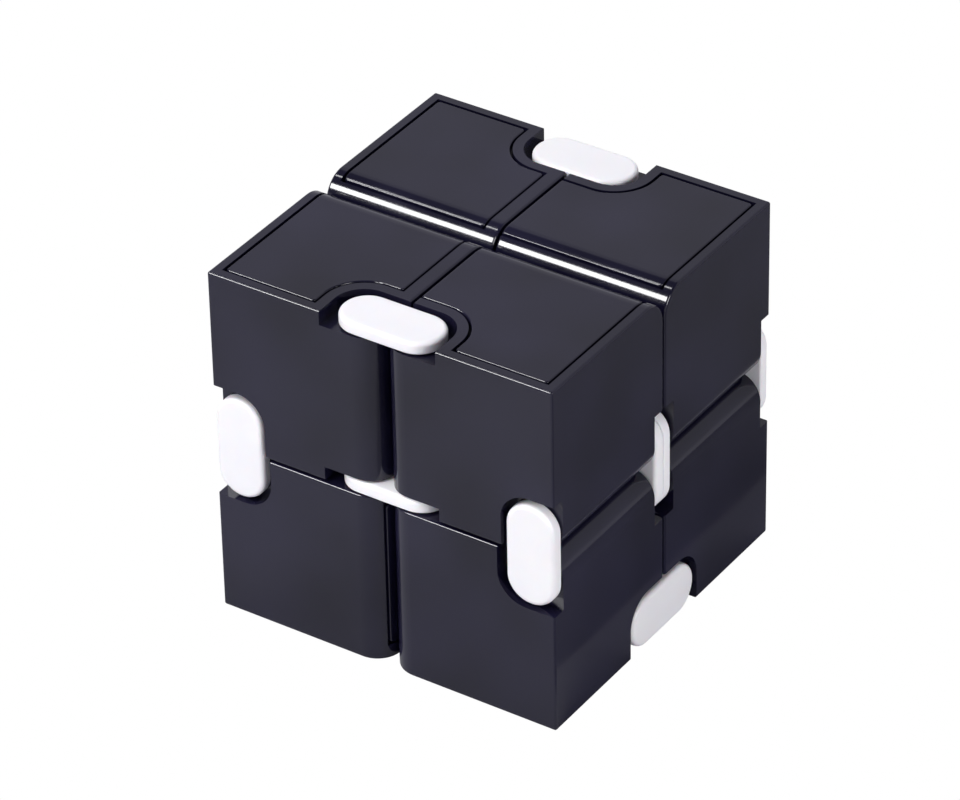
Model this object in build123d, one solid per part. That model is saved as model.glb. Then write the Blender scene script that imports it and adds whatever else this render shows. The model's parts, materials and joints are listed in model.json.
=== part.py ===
from build123d import *
import os
from math import hypot

# Folding fidget cube: eight hollow blocks joined in one endless ring by eight twin-pin hinges.
# Millimetres, +Z up, front at -Y. The origin is the centre of the closed cube's bottom face.
# A hinge has two parallel steel pins, one in the rounded edge of each of its two blocks, and a link
# plate pressed on the pins at both ends. Every block is a moulded shell with a press-in cover, and
# all eight are one moulding or its mirror image: two edges carry hinges, a third is only rounded.

# Driving dimensions
CUBE = 40.0  # side of the closed cube
GAP = 0.30  # free space between neighbouring blocks
EDGE_RADIUS = 2.85  # the rounded edges
ARRIS = 0.25  # rounding of the blocks' other edges

PIN_RADIUS = 1.00
BORE_RADIUS = 1.05

PLATE_RADIUS = 2.80  # half the width of a link plate
PLATE_THICKNESS = 1.40
OUTER_PLATE_RECESS = 0.05  # from the blocks' outer faces down to the outer plate's face
INNER_PLATE_RISE = 0.10  # from the blocks' inner faces up to the inner plate's face
OUTER_PLATE_FILLETS = (0.50, 0.25)  # round the exposed face, round the face in the pocket
INNER_PLATE_FILLETS = (0.15, 0.45)
SOCKET_DEPTH = 0.80  # how far a pin is pressed into each plate

POCKET_DEPTH = 1.60
POCKET_RADIUS = 3.25
POCKET_REACH = 0.50  # the pocket's round end is centred this far beyond the pin
BACKING = 1.40  # thickness of the material behind a pocket

WALL = 2.20
COVER_THICKNESS = 1.40
SEAM = 0.28  # open line round a cover
RIM = 1.05  # shell rim outside the seam
ROUNDED_RIM = 1.20  # the same rim on the rounded edge, measured across the block
HINGE_RIM = 1.55  # the same rim on the side of the hinged neighbour
POCKET_RIM = 1.10  # the same rim round the pocket in the cover's side
LEDGE = 0.65  # shelf under the cover along the rim and round the pocket
COVER_CORNER = 0.35
COVER_ARRIS = 0.15

PEG_RADIUS = 1.20
PEG_HOLE_RADIUS = 1.22
PEG_LENGTH = 4.50
PEG_HOLE_DEPTH = 5.00
BOSS_RADIUS = 2.30
PEG_INSET = 4.20  # from a block's faces to the axis of a peg
PEG_INSET_ROUNDED = 5.30  # the same from the face beside the plain rounded edge

# Sizes that follow from them
BLOCK = (CUBE - GAP) / 2
HALF = BLOCK / 2
OFFSET = (BLOCK + GAP) / 2  # from the cube's mid planes to the middle of a block
PIN_INSET = EDGE_RADIUS  # pins are concentric with the rounded edges
PIN = -HALF + PIN_INSET  # a pin's place in its hinge's own frame, along both X and Y
PIN_PITCH = 2 * PIN_INSET + GAP
LEDGE_HEIGHT = HALF - COVER_THICKNESS
BEYOND = BLOCK  # a length that passes right through a block

# A hinged edge of a block, seen in the block's own frame. Local Z runs along the pin, local -X
# points at the hinged neighbour, and local -Y at the outer face beside the edge.
HINGE_IN_COVER = Plane(origin=(0, 0, 0), x_dir=(1, 0, 0), z_dir=(0, 0, 1))
HINGE_IN_WALL = Plane(origin=(0, 0, 0), x_dir=(0, 0, 1), z_dir=(0, -1, 0))
HINGES = (HINGE_IN_COVER, HINGE_IN_WALL)

UPWARD = (Align.CENTER, Align.CENTER, Align.MIN)


# One block, in its own frame with its middle at the origin: the cover is its +Z side, one hinge is
# in the edge between -X and -Y, the other in the edge between +X and -Z, and the third rounded
# edge is the one between +Y and +Z.


def is_arris(edge):
    """True for an edge of the rounded block that is still sharp."""
    on_faces = sum(abs(abs(value) - HALF) < 0.01 for value in edge.center())
    return edge.geom_type == GeomType.CIRCLE or on_faces > 1


def block_body():
    """The block as a solid, with its three wide rounded edges and a small arris elsewhere."""
    body = Box(BLOCK, BLOCK, BLOCK)
    upright = body.edges().filter_by(Axis.Z).sort_by(Axis.X)[:2].sort_by(Axis.Y)[0]
    lying = body.edges().filter_by(Axis.Y).sort_by(Axis.Z)[:2].sort_by(Axis.X)[-1]
    plain = body.edges().filter_by(Axis.X).sort_by(Axis.Y)[2:].sort_by(Axis.Z)[-1]
    body = fillet([upright, lying, plain], EDGE_RADIUS)
    return fillet(body.edges().filter_by(is_arris), ARRIS)


def span(low, high):
    """A box between two corners."""
    size = [b - a for a, b in zip(low, high)]
    return Pos(*low) * Box(*size, align=(Align.MIN, Align.MIN, Align.MIN))


def u_prism(radius, bottom, top):
    """A U-shaped prism round a pin, in the hinge's frame, open towards -X and -Y."""
    middle = PIN + POCKET_REACH
    shape = Pos(middle, PIN, bottom) * Cylinder(radius, top - bottom, align=UPWARD)
    shape += span((-BEYOND, -BEYOND, bottom), (middle + radius, PIN, top))
    return shape + span((-BEYOND, -BEYOND, bottom), (middle, PIN + radius, top))


def pockets(hinge):
    """The two recesses in which a hinge's link plates lie and swing."""
    floor = HALF - POCKET_DEPTH
    upper = u_prism(POCKET_RADIUS, floor, BEYOND)
    lower = u_prism(POCKET_RADIUS, -BEYOND, -floor)
    return hinge * (upper + lower)


def pin_support(hinge):
    """The barrel round a pin's bore and the thick pads behind its two pockets."""
    pad_radius = POCKET_RADIUS + POCKET_RIM + LEDGE
    pad_floor = HALF - POCKET_DEPTH - BACKING
    support = Pos(PIN, PIN) * Cylinder(EDGE_RADIUS, BLOCK)
    support += u_prism(pad_radius, pad_floor, LEDGE_HEIGHT)
    support += u_prism(pad_radius, -LEDGE_HEIGHT, -pad_floor)
    return hinge * support


def bore(hinge):
    return hinge * (Pos(PIN, PIN) * Cylinder(BORE_RADIUS, 2 * BEYOND))


def peg_places():
    """Axes of the cover's pegs, in the three corners that hold no pocket."""
    side = HALF - PEG_INSET
    rounded_side = HALF - PEG_INSET_ROUNDED
    return Locations((side, -side), (side, rounded_side), (-side, rounded_side))


def cover_space(hinge_rim, seam):
    """The space for a cover. Its outside follows the block's, so one side of it is rounded off."""
    neighbour_side = -HALF + hinge_rim + seam if hinge_rim else -BEYOND
    low = (neighbour_side, -HALF + RIM + seam, LEDGE_HEIGHT)
    high = (HALF - RIM - seam, HALF - ROUNDED_RIM - seam, BEYOND)
    return span(low, high) - u_prism(POCKET_RADIUS + POCKET_RIM + seam, LEDGE_HEIGHT - 1, BEYOND)


def shell(hinge_rim):
    """The block's moulded body, open on its +Z side."""
    low = (-HALF + WALL, -HALF + WALL, -HALF + WALL)
    high = (HALF - WALL, HALF - WALL, LEDGE_HEIGHT)
    cavity = span(low, high)
    for hinge in HINGES:
        cavity -= pin_support(hinge)
    for place in peg_places():
        cavity -= place * Cylinder(BOSS_RADIUS, 2 * BEYOND)
    body = block_body() - cavity - cover_space(hinge_rim, 0)
    peg_hole = Cylinder(PEG_HOLE_RADIUS, PEG_HOLE_DEPTH, align=UPWARD)
    for place in peg_places():
        body -= place * Pos(0, 0, LEDGE_HEIGHT - PEG_HOLE_DEPTH) * peg_hole
    for hinge in HINGES:
        body -= pockets(hinge)
        body -= bore(hinge)
    return body


def is_cover_rim(edge):
    """True for an edge between the cover's outside and the seam."""
    middle = edge @ 0.5
    past_y, past_z = middle.Y - HALF + EDGE_RADIUS, middle.Z - HALF + EDGE_RADIUS
    is_outside = abs(hypot(max(past_y, 0), past_z) - EDGE_RADIUS) < 0.01
    return is_outside and abs(past_y) > 0.01 and middle.X > -HALF + ARRIS + 0.01


def cover(hinge_rim):
    """The press-in cover with its three pegs."""
    plate = block_body() & cover_space(hinge_rim, SEAM)
    corners = plate.edges().filter_by(Axis.Z).filter_by_position(Axis.X, -HALF + ARRIS, HALF)
    plate = fillet(corners, COVER_CORNER)
    plate = fillet(plate.edges().filter_by(is_cover_rim), COVER_ARRIS)
    peg = Cylinder(PEG_RADIUS, PEG_LENGTH, align=UPWARD)
    for place in peg_places():
        plate += place * Pos(0, 0, LEDGE_HEIGHT - PEG_LENGTH) * peg
    return plate


def link_plate(rise, fillets):
    """A link plate in its hinge's frame, pitch along X, exposed side up, mid hinge at the origin.

    rise is the height of its exposed face above the blocks' faces."""
    exposed = HALF + rise
    pocketed = exposed - PLATE_THICKNESS
    outline = SlotCenterToCenter(PIN_PITCH, 2 * PLATE_RADIUS)
    plate = Pos(0, 0, pocketed) * extrude(outline, PLATE_THICKNESS)
    plate = fillet(plate.faces().sort_by(Axis.Z)[-1].edges(), fillets[0])
    plate = fillet(plate.faces().sort_by(Axis.Z)[0].edges(), fillets[1])
    socket = Cylinder(PIN_RADIUS, SOCKET_DEPTH, align=UPWARD)
    for side in (-1, 1):
        plate -= Pos(side * PIN_PITCH / 2, 0, pocketed) * socket
    return plate


def hinge_pin():
    """A pin along Z in its hinge's frame, reaching into the sockets of both plates."""
    reach = HALF - PLATE_THICKNESS + SOCKET_DEPTH
    length = 2 * reach - OUTER_PLATE_RECESS + INNER_PLATE_RISE
    return Pos(0, 0, -reach - INNER_PLATE_RISE) * Cylinder(PIN_RADIUS, length, align=UPWARD)


def write(node, shape):
    shape.label = node
    export_step(shape, f"parts/{node}.step")


# The whole cube
MID_HEIGHT = CUBE / 2
SIDES = {"left": -1, "right": 1}
ENDS = {"front": -1, "rear": 1}
HINGE_LINE = CUBE / 2 - PIN_INSET  # from the cube's mid planes to the pins of an outer hinge


def write_block(level, end, side, moulding):
    """Place one block. Top blocks have their cover on top, bottom ones on the side inside the cube."""
    x, y = SIDES[side], ENDS[end]
    if level == "top":
        across, along, out = Vector(x, 0, 0), Vector(0, -y, 0), Vector(0, 0, 1)
        height = MID_HEIGHT + OFFSET
    else:
        across, along, out = Vector(0, 0, 1), Vector(0, y, 0), Vector(-x, 0, 0)
        height = MID_HEIGHT - OFFSET
    mirrored = across.cross(along).dot(out) < 0
    x_dir = -across if mirrored else across
    frame = Plane(origin=(x * OFFSET, y * OFFSET, height), x_dir=x_dir, z_dir=out)
    for piece, shape in moulding.items():
        handed = mirror(shape, about=Plane.YZ) if mirrored else shape
        write(f"{level}_{end}_{side}_{piece}", frame * handed)


def write_hinge(name, middle, pitch, axis, pin_names):
    """Place one hinge: axis points from its inner to its outer plate, pitch from pin to pin."""
    frame = Plane(origin=middle, x_dir=pitch, z_dir=axis)
    write(f"{name}_hinge_outer_plate", frame * outer_plate)
    write(f"{name}_hinge_inner_plate", frame * Rot(180, 0, 0) * inner_plate)
    for sign, pin_name in zip((-1, 1), pin_names):
        write(f"{name}_hinge_{pin_name}_pin", frame * Pos(sign * PIN_PITCH / 2, 0, 0) * pin)


os.makedirs("parts", exist_ok=True)
outer_plate = link_plate(-OUTER_PLATE_RECESS, OUTER_PLATE_FILLETS)
inner_plate = link_plate(INNER_PLATE_RISE, INNER_PLATE_FILLETS)
pin = hinge_pin()

rimmed = {"shell": shell(HINGE_RIM), "cover": cover(HINGE_RIM)}
rimless = {"shell": shell(0), "cover": cover(0)}  # the cover runs out to the hinged neighbour
for end in ENDS:
    write_block("top", end, "left", rimmed)
    write_block("top", end, "right", rimless)
    for side in SIDES:
        write_block("bottom", end, side, rimmed)

for end, y in ENDS.items():
    middle = (0, y * HINGE_LINE, MID_HEIGHT + OFFSET)
    write_hinge(f"top_{end}", middle, (1, 0, 0), (0, 0, 1), ("left", "right"))
    for side, x in SIDES.items():
        middle = (x * HINGE_LINE, y * OFFSET, MID_HEIGHT)
        write_hinge(f"{end}_{side}", middle, (0, 0, 1), (0, y, 0), ("lower", "upper"))
for side, x in SIDES.items():
    middle = (x * OFFSET, 0, PIN_INSET)
    write_hinge(f"bottom_{side}", middle, (0, 1, 0), (x, 0, 0), ("front", "rear"))
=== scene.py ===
"""Looks of the folding fidget cube: gloss black blocks, white link plates and steel pins.

Metres, +Z up, front at -Y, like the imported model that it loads.
"""

import json
import math

import bpy
from mathutils import Matrix, Vector


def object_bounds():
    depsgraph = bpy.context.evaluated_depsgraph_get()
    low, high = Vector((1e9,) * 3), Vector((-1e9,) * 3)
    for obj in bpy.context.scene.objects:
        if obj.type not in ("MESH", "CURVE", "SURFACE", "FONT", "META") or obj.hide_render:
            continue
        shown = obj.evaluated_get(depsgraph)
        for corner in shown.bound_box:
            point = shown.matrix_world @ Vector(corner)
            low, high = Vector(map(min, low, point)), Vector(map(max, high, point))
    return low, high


MM = 0.001
UP = Vector((0, 0, 1))

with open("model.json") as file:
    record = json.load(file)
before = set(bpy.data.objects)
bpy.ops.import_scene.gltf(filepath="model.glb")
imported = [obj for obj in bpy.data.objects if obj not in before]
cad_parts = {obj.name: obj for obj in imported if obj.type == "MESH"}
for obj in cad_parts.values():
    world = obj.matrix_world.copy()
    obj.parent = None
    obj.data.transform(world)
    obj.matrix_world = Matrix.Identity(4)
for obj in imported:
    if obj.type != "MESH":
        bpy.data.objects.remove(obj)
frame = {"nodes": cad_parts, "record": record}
cad_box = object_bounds()
cube_low, cube_high = cad_box
cube_middle = (cube_low + cube_high) / 2
cube_side = cube_high.x - cube_low.x


def direction(azimuth, elevation):
    """The way towards these angles, in degrees; the azimuth counts from the front to the right."""
    azimuth, elevation = math.radians(azimuth), math.radians(elevation)
    return Vector((
        math.sin(azimuth) * math.cos(elevation),
        -math.cos(azimuth) * math.cos(elevation),
        math.sin(elevation),
    ))


def place(name, data):
    """An object added to the scene."""
    thing = bpy.data.objects.new(name, data)
    bpy.context.scene.collection.objects.link(thing)
    return thing


# Camera
CAMERA_AZIMUTH = 34.1
CAMERA_ELEVATION = 34.1
CAMERA_ROLL = math.radians(-1.2)
CAMERA_DISTANCE = 14.05 * cube_side
LENS = 210.5  # in the camera's own units, millimetres, like the sensor
SENSOR = 36.0
CLIP = (0.01, 20)
AIM_RIGHT = -1.43 * MM  # the aim lies this far from the cube's middle
AIM_UP = 0.53 * MM


def add_camera():
    back = direction(CAMERA_AZIMUTH, CAMERA_ELEVATION)
    level_right = UP.cross(back).normalized()
    level_up = back.cross(level_right)
    right = math.cos(CAMERA_ROLL) * level_right + math.sin(CAMERA_ROLL) * level_up
    up = back.cross(right)
    aim = cube_middle + AIM_RIGHT * level_right + AIM_UP * level_up
    camera = place("camera", bpy.data.cameras.new("camera"))
    camera.data.lens = LENS
    camera.data.sensor_width = SENSOR
    camera.data.clip_start, camera.data.clip_end = CLIP
    turn = Matrix((right, up, back)).transposed().to_4x4()
    camera.matrix_world = Matrix.Translation(aim + back * CAMERA_DISTANCE) @ turn
    bpy.context.scene.camera = camera


# Materials
BLACK_DEEP = (0.003, 0.0025, 0.011)
BLACK_HAZE = (0.010, 0.009, 0.026)
BLACK_IOR = 1.50
BLACK_ROUGHNESS = (0.09, 0.17)
WHITE_COOL = (0.84, 0.83, 0.87)
WHITE_WARM = (0.88, 0.87, 0.89)
WHITE_ROUGHNESS = (0.30, 0.38)
WHITE_GLOW = 0.12
WHITE_GLOW_DEPTH = 0.6 * MM
STEEL_COLOUR = (0.62, 0.61, 0.60)
STEEL_ROUGHNESS = (0.20, 0.34)
NOISE_RANGE = (0.3, 0.7)  # where most of a fractal noise's values lie


def new_material(name):
    """A node material with its Principled shader."""
    material = bpy.data.materials.new(name)
    material.use_nodes = True
    return material, material.node_tree, material.node_tree.nodes["Principled BSDF"]


def noise(tree, waves, detail):
    """Fractal noise over the object's own coordinates, in waves per metre."""
    coordinates = tree.nodes.new("ShaderNodeTexCoord")
    texture = tree.nodes.new("ShaderNodeTexNoise")
    texture.inputs["Scale"].default_value = waves
    texture.inputs["Detail"].default_value = detail
    tree.links.new(coordinates.outputs["Object"], texture.inputs["Vector"])
    return texture.outputs["Fac"]


def map_range(tree, value, old, new, interpolation="LINEAR"):
    """Map the range old to the range new, both given as (low, high)."""
    node = tree.nodes.new("ShaderNodeMapRange")
    node.interpolation_type = interpolation
    node.inputs["From Min"].default_value, node.inputs["From Max"].default_value = old
    node.inputs["To Min"].default_value, node.inputs["To Max"].default_value = new
    tree.links.new(value, node.inputs["Value"])
    return node.outputs["Result"]


def uneven(tree, waves, detail, between=(0, 1)):
    """A value that varies over the surface between the two given ones."""
    return map_range(tree, noise(tree, waves, detail), NOISE_RANGE, between)


def blend_colours(tree, factor, first, second):
    """A colour between two given ones."""
    node = tree.nodes.new("ShaderNodeMix")
    node.data_type = "RGBA"
    node.inputs["A"].default_value = (*first, 1)
    node.inputs["B"].default_value = (*second, 1)
    tree.links.new(factor, node.inputs["Factor"])
    return node.outputs["Result"]


def bump(tree, height, distance, strength, under=None):
    """A bumped normal, on top of another one if it is given."""
    node = tree.nodes.new("ShaderNodeBump")
    node.inputs["Strength"].default_value = strength
    node.inputs["Distance"].default_value = distance
    tree.links.new(height, node.inputs["Height"])
    if under:
        tree.links.new(under, node.inputs["Normal"])
    return node.outputs["Normal"]


def black_plastic():
    """Gloss moulding: a hazy, slightly uneven shine on faces that are not quite flat."""
    material, tree, shader = new_material("gloss_black_plastic")
    shader.inputs["IOR"].default_value = BLACK_IOR
    colour = blend_colours(tree, uneven(tree, waves=85, detail=1.5), BLACK_DEEP, BLACK_HAZE)
    roughness = uneven(tree, waves=160, detail=3.0, between=BLACK_ROUGHNESS)
    sinks = bump(tree, noise(tree, waves=45, detail=0.5), distance=0.3 * MM, strength=1.0)
    grain = bump(tree, noise(tree, waves=1500, detail=2.0), distance=0.004 * MM, strength=0.2, under=sinks)
    tree.links.new(colour, shader.inputs["Base Color"])
    tree.links.new(roughness, shader.inputs["Roughness"])
    tree.links.new(grain, shader.inputs["Normal"])
    return material


def white_plastic():
    """Satin moulding with a faint glow and soft unevenness."""
    material, tree, shader = new_material("satin_white_plastic")
    shader.inputs["Subsurface Weight"].default_value = WHITE_GLOW
    shader.inputs["Subsurface Scale"].default_value = WHITE_GLOW_DEPTH
    colour = blend_colours(tree, uneven(tree, waves=130, detail=2.0), WHITE_COOL, WHITE_WARM)
    roughness = uneven(tree, waves=220, detail=2.0, between=WHITE_ROUGHNESS)
    sinks = bump(tree, noise(tree, waves=240, detail=1.0), distance=0.05 * MM, strength=0.3)
    tree.links.new(colour, shader.inputs["Base Color"])
    tree.links.new(roughness, shader.inputs["Roughness"])
    tree.links.new(sinks, shader.inputs["Normal"])
    return material


def pin_steel():
    """Drawn steel wire."""
    material, tree, shader = new_material("drawn_steel")
    shader.inputs["Base Color"].default_value = (*STEEL_COLOUR, 1)
    shader.inputs["Metallic"].default_value = 1.0
    roughness = uneven(tree, waves=2500, detail=4.0, between=STEEL_ROUGHNESS)
    tree.links.new(roughness, shader.inputs["Roughness"])
    return material


def dress_nodes():
    """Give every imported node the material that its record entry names."""
    materials = {
        "black_plastic": black_plastic(),
        "white_plastic": white_plastic(),
        "pin_steel": pin_steel(),
    }
    slots = {entry["node"]: entry["material_slot"] for entry in frame["record"]["subparts"]}
    for name, node in frame["nodes"].items():
        node.data.materials.clear()
        node.data.materials.append(materials[slots[name]])


# Floor. The camera sees plain white in its place, which keeps whatever swings below it in view.
FLOOR_REACH = 7 * cube_side
FLOOR_COLOUR = (0.48, 0.48, 0.49)
# The shade card is painted shade: a grey sheet at the right, seen only in reflections, that darkens the
# floor there as if it lay in shadow.
PAINTED_SHADE_COLOUR = (0.25, 0.25, 0.26)
CARD_ROUGHNESS = 0.9
PAINTED_SHADE_LOW = Vector((cube_high.x + 5 * MM, -40 * MM, cube_low.z + 0.5 * MM))
PAINTED_SHADE_HIGH = Vector((300 * MM, 300 * MM, 0))


def add_sheet(name, low, high, colour):
    """A level rectangle of matt card at the height of its low corner."""
    mesh = bpy.data.meshes.new(name)
    corners = [(low.x, low.y), (high.x, low.y), (high.x, high.y), (low.x, high.y)]
    mesh.from_pydata([(x, y, low.z) for x, y in corners], [], [(0, 1, 2, 3)])
    sheet = place(name, mesh)
    material, tree, shader = new_material(name)
    shader.inputs["Base Color"].default_value = (*colour, 1)
    shader.inputs["Roughness"].default_value = CARD_ROUGHNESS
    shader.inputs["Specular IOR Level"].default_value = 0.0
    mesh.materials.append(material)
    sheet.visible_camera = False
    sheet.visible_shadow = False
    return sheet


def add_floor():
    """A pale floor, and a grey card on it at the right, seen only in the blocks' shine: painted shade that
    darkens the floor they reflect there, standing in for the floor's shadow.
    """
    reach = Vector((FLOOR_REACH, FLOOR_REACH, 0))
    middle = cube_low.z * UP
    add_sheet("floor", middle - reach, middle + reach, FLOOR_COLOUR)
    painted_shade_card = add_sheet("shade_card", PAINTED_SHADE_LOW, PAINTED_SHADE_HIGH, PAINTED_SHADE_COLOUR)
    painted_shade_card.visible_diffuse = False


# World: the radiance of each part of the studio, dim and bright, and where it lies. A span is in
# cosines of the angle from the direction that the part is measured towards.
STUDIO_TINT = (0.93, 0.92, 1.0)
WHITE = (1, 1, 1)
ABOVE_LIGHT = (0.14, 0.56)
REAR_HALF = (0, 0.829, -0.559)  # points into the bright half, which holds the rear wall
REAR_HALF_SPAN = (-0.02, 0.02)
BELOW_LIGHT = (0.10, 0.48)
FRONT_LEFT = (-0.56, -0.83, 0)  # the bright side of the light from below the floor's level
FRONT_LEFT_SPAN = (-0.4, 0.6)
LEVEL_SPAN = (-0.001, 0.001)
HORIZON_LIGHT = (0, 0.75)
HORIZON_LOWER_SPAN = (-0.25, -0.08)
HORIZON_UPPER_SPAN = (-0.30, -0.10)


def ramp(tree, towards, span, light=(0, 1)):
    """A value that rises from dim to bright as the sky direction turns towards the given one."""
    coordinates = tree.nodes.new("ShaderNodeTexCoord")
    turned = tree.nodes.new("ShaderNodeVectorMath")
    turned.operation = "DOT_PRODUCT"
    turned.inputs[1].default_value = towards
    tree.links.new(coordinates.outputs["Generated"], turned.inputs[0])
    return map_range(tree, turned.outputs["Value"], span, light, interpolation="SMOOTHSTEP")


def join(tree, operation, first, second):
    """A sum, minimum or the like of two values."""
    node = tree.nodes.new("ShaderNodeMath")
    node.operation = operation
    tree.links.new(first, node.inputs[0])
    tree.links.new(second, node.inputs[1])
    return node.outputs["Value"]


def background(tree, colour, strength=None):
    """Light of one colour from the sky, of radiance 1 unless a strength is linked."""
    node = tree.nodes.new("ShaderNodeBackground")
    node.inputs["Color"].default_value = (*colour, 1)
    if strength:
        tree.links.new(strength, node.inputs["Strength"])
    return node.outputs["Background"]


def add_world():
    """A dim studio with a lit rear wall and horizon, on a plain white background."""
    world = bpy.data.worlds.new("studio")
    world.use_nodes = True
    tree = world.node_tree
    tree.nodes.clear()
    walls = tree.nodes.new("ShaderNodeMix")
    tree.links.new(ramp(tree, -UP, LEVEL_SPAN), walls.inputs["Factor"])
    tree.links.new(ramp(tree, REAR_HALF, REAR_HALF_SPAN, ABOVE_LIGHT), walls.inputs["A"])
    tree.links.new(ramp(tree, FRONT_LEFT, FRONT_LEFT_SPAN, BELOW_LIGHT), walls.inputs["B"])
    rising = ramp(tree, UP, HORIZON_LOWER_SPAN, HORIZON_LIGHT)
    falling = ramp(tree, -UP, HORIZON_UPPER_SPAN, HORIZON_LIGHT)
    horizon = join(tree, "MINIMUM", rising, falling)
    studio = background(tree, STUDIO_TINT, join(tree, "MAXIMUM", walls.outputs["Result"], horizon))
    white = background(tree, WHITE)
    rays = tree.nodes.new("ShaderNodeLightPath")
    seen = tree.nodes.new("ShaderNodeMixShader")
    tree.links.new(rays.outputs["Is Camera Ray"], seen.inputs["Fac"])
    tree.links.new(studio, seen.inputs[1])
    tree.links.new(white, seen.inputs[2])
    output = tree.nodes.new("ShaderNodeOutputWorld")
    tree.links.new(seen.outputs["Shader"], output.inputs["Surface"])
    bpy.context.scene.world = world


# Lights
LIGHT_DISTANCE = 0.9
OVERHEAD_SIDE = -0.465  # how far to the left the overhead softboxes hang, as a share of their distance


def overhead(turn):
    """A direction at the left, turned about X by degrees from the front (0) over the top (90)."""
    turn = math.radians(turn)
    across = math.sqrt(1 - OVERHEAD_SIDE ** 2)
    return Vector((OVERHEAD_SIDE, -math.cos(turn) * across, math.sin(turn) * across))


# Each row is a name, the way there, the width and height in degrees as seen from the cube, and the
# radiance. The first softboxes light only the matt surfaces, and the others only show in the shine.
MATT_SOFTBOXES = (
    ("key", direction(-38, 49), 40, 40, 6.5),
    ("fill", direction(80, 8), 40, 30, 4.5),
    ("rear_fill", direction(205, 24), 40, 30, 1.6),
)
SHINE_SOFTBOXES = (
    ("band", overhead(43), 18, 16, 30),
    ("strip", overhead(90), 18, 4, 14),
    ("corner", direction(69, 19), 20, 24, 14),
)
POOL_PLACE = (-5 * MM, -80 * MM, 60 * MM)  # a small lamp, for the pool of light on the floor in front
POOL_SIZE = 30 * MM
POOL_RADIANCE = 5


def add_area_light(name, width, height, radiance, in_matt=True, in_shine=True):
    """A rectangular light, given its radiance in place of its power."""
    data = bpy.data.lights.new(name, "AREA")
    data.shape = "RECTANGLE"
    data.size = width
    data.size_y = height
    data.energy = radiance * math.pi * width * height
    light = place(name, data)
    light.visible_camera = False
    light.visible_diffuse = in_matt
    light.visible_glossy = in_shine
    return light


def add_softbox(name, towards, width, height, radiance, **seen):
    """A rectangular light aimed at the cube, its width along X."""
    size = [2 * LIGHT_DISTANCE * math.tan(math.radians(angle / 2)) for angle in (width, height)]
    light = add_area_light(name, *size, radiance, **seen)
    sideways = (Vector((1, 0, 0)) - towards * towards.x).normalized()
    turn = Matrix((sideways, towards.cross(sideways), towards)).transposed().to_4x4()
    light.matrix_world = Matrix.Translation(cube_middle + towards * LIGHT_DISTANCE) @ turn


def add_lights():
    for row in MATT_SOFTBOXES:
        add_softbox(*row, in_shine=False)
    for row in SHINE_SOFTBOXES:
        add_softbox(*row, in_matt=False)
    pool = add_area_light("pool", POOL_SIZE, POOL_SIZE, POOL_RADIANCE, in_shine=False)
    pool.location = POOL_PLACE


dress_nodes()
add_camera()
add_floor()
add_world()
add_lights()
bpy.context.scene.view_settings.view_transform = "Standard"
